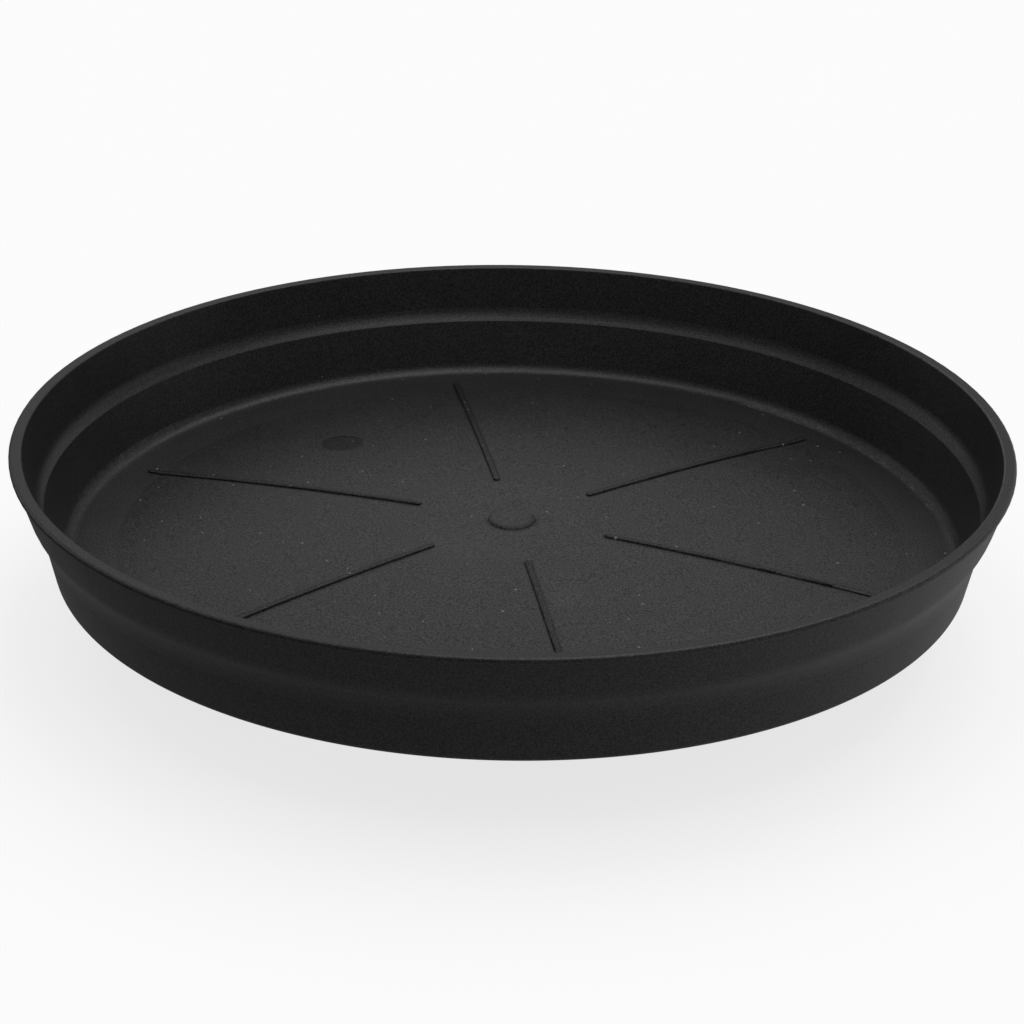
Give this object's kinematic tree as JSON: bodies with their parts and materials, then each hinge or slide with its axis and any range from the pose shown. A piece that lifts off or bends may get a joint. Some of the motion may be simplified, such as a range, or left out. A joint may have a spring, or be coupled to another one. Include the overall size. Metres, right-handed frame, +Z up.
{
  "type": "plant pot caddy",
  "caption": "Round plastic saucer tray with a stepped wall, rolled lip and ribbed crowned floor, carried on small swivelling twin-wheel castors for moving a potted plant.",
  "frame": {"origin": "on the ground, under the centre of the tray", "axes": "+Z up; -Y front, where the pictured view looks from; one of the six floor ribs points to +Y; -X left"},
  "size_m": [0.38, 0.38, 0.0773],
  "materials": {
    "tray_plastic": "fine matte moulded black plastic",
    "hood_plastic": "satin black moulded nylon",
    "wheel_plastic": "satin dark moulded nylon",
    "tyre_rubber": "matte dark grey soft tread",
    "nylon": "natural nylon",
    "zinc_steel": "bright zinc plated pressed steel",
    "pin_steel": "plain drawn steel"
  },
  "bodies": {
    "tray": {"tray": "tray_plastic", "castor_screws": "zinc_steel", "front_left_castor_plate": "zinc_steel", "front_left_castor_kingpin": "pin_steel", "front_left_castor_washer": "nylon", "front_right_castor_plate": "zinc_steel", "front_right_castor_kingpin": "pin_steel", "front_right_castor_washer": "nylon", "rear_left_castor_plate": "zinc_steel", "rear_left_castor_kingpin": "pin_steel", "rear_left_castor_washer": "nylon", "rear_right_castor_plate": "zinc_steel", "rear_right_castor_kingpin": "pin_steel", "rear_right_castor_washer": "nylon"},
    "front_left_castor": {"front_left_castor_housing": "hood_plastic", "front_left_castor_axle": "pin_steel", "front_left_castor_axle_caps": "zinc_steel"},
    "front_left_left_wheel": {"front_left_castor_left_wheel": "wheel_plastic", "front_left_castor_left_tyre": "tyre_rubber"},
    "front_left_right_wheel": {"front_left_castor_right_wheel": "wheel_plastic", "front_left_castor_right_tyre": "tyre_rubber"},
    "front_right_castor": {"front_right_castor_housing": "hood_plastic", "front_right_castor_axle": "pin_steel", "front_right_castor_axle_caps": "zinc_steel"},
    "front_right_left_wheel": {"front_right_castor_left_wheel": "wheel_plastic", "front_right_castor_left_tyre": "tyre_rubber"},
    "front_right_right_wheel": {"front_right_castor_right_wheel": "wheel_plastic", "front_right_castor_right_tyre": "tyre_rubber"},
    "rear_left_castor": {"rear_left_castor_housing": "hood_plastic", "rear_left_castor_axle": "pin_steel", "rear_left_castor_axle_caps": "zinc_steel"},
    "rear_left_left_wheel": {"rear_left_castor_left_wheel": "wheel_plastic", "rear_left_castor_left_tyre": "tyre_rubber"},
    "rear_left_right_wheel": {"rear_left_castor_right_wheel": "wheel_plastic", "rear_left_castor_right_tyre": "tyre_rubber"},
    "rear_right_castor": {"rear_right_castor_housing": "hood_plastic", "rear_right_castor_axle": "pin_steel", "rear_right_castor_axle_caps": "zinc_steel"},
    "rear_right_left_wheel": {"rear_right_castor_left_wheel": "wheel_plastic", "rear_right_castor_left_tyre": "tyre_rubber"},
    "rear_right_right_wheel": {"rear_right_castor_right_wheel": "wheel_plastic", "rear_right_castor_right_tyre": "tyre_rubber"}
  },
  "joints": [
    {"name": "front_left_swivel", "type": "hinge", "parent": "tray", "child": "front_left_castor", "pos_m": [-0.08344, -0.08344, 0.02], "axis": [0, 0, 1], "continuous": true},
    {"name": "front_left_left_wheel_spin", "type": "hinge", "parent": "front_left_castor", "child": "front_left_left_wheel", "pos_m": [-0.09219, -0.07544, 0.011], "axis": [1, 0, 0], "continuous": true},
    {"name": "front_left_right_wheel_spin", "type": "hinge", "parent": "front_left_castor", "child": "front_left_right_wheel", "pos_m": [-0.07469, -0.07544, 0.011], "axis": [1, 0, 0], "continuous": true},
    {"name": "front_right_swivel", "type": "hinge", "parent": "tray", "child": "front_right_castor", "pos_m": [0.08344, -0.08344, 0.02], "axis": [0, 0, 1], "continuous": true},
    {"name": "front_right_left_wheel_spin", "type": "hinge", "parent": "front_right_castor", "child": "front_right_left_wheel", "pos_m": [0.07469, -0.07544, 0.011], "axis": [1, 0, 0], "continuous": true},
    {"name": "front_right_right_wheel_spin", "type": "hinge", "parent": "front_right_castor", "child": "front_right_right_wheel", "pos_m": [0.09219, -0.07544, 0.011], "axis": [1, 0, 0], "continuous": true},
    {"name": "rear_left_swivel", "type": "hinge", "parent": "tray", "child": "rear_left_castor", "pos_m": [-0.08344, 0.08344, 0.02], "axis": [0, 0, 1], "continuous": true},
    {"name": "rear_left_left_wheel_spin", "type": "hinge", "parent": "rear_left_castor", "child": "rear_left_left_wheel", "pos_m": [-0.09219, 0.09144, 0.011], "axis": [1, 0, 0], "continuous": true},
    {"name": "rear_left_right_wheel_spin", "type": "hinge", "parent": "rear_left_castor", "child": "rear_left_right_wheel", "pos_m": [-0.07469, 0.09144, 0.011], "axis": [1, 0, 0], "continuous": true},
    {"name": "rear_right_swivel", "type": "hinge", "parent": "tray", "child": "rear_right_castor", "pos_m": [0.08344, 0.08344, 0.02], "axis": [0, 0, 1], "continuous": true},
    {"name": "rear_right_left_wheel_spin", "type": "hinge", "parent": "rear_right_castor", "child": "rear_right_left_wheel", "pos_m": [0.07469, 0.09144, 0.011], "axis": [1, 0, 0], "continuous": true},
    {"name": "rear_right_right_wheel_spin", "type": "hinge", "parent": "rear_right_castor", "child": "rear_right_right_wheel", "pos_m": [0.09219, 0.09144, 0.011], "axis": [1, 0, 0], "continuous": true}
  ]
}
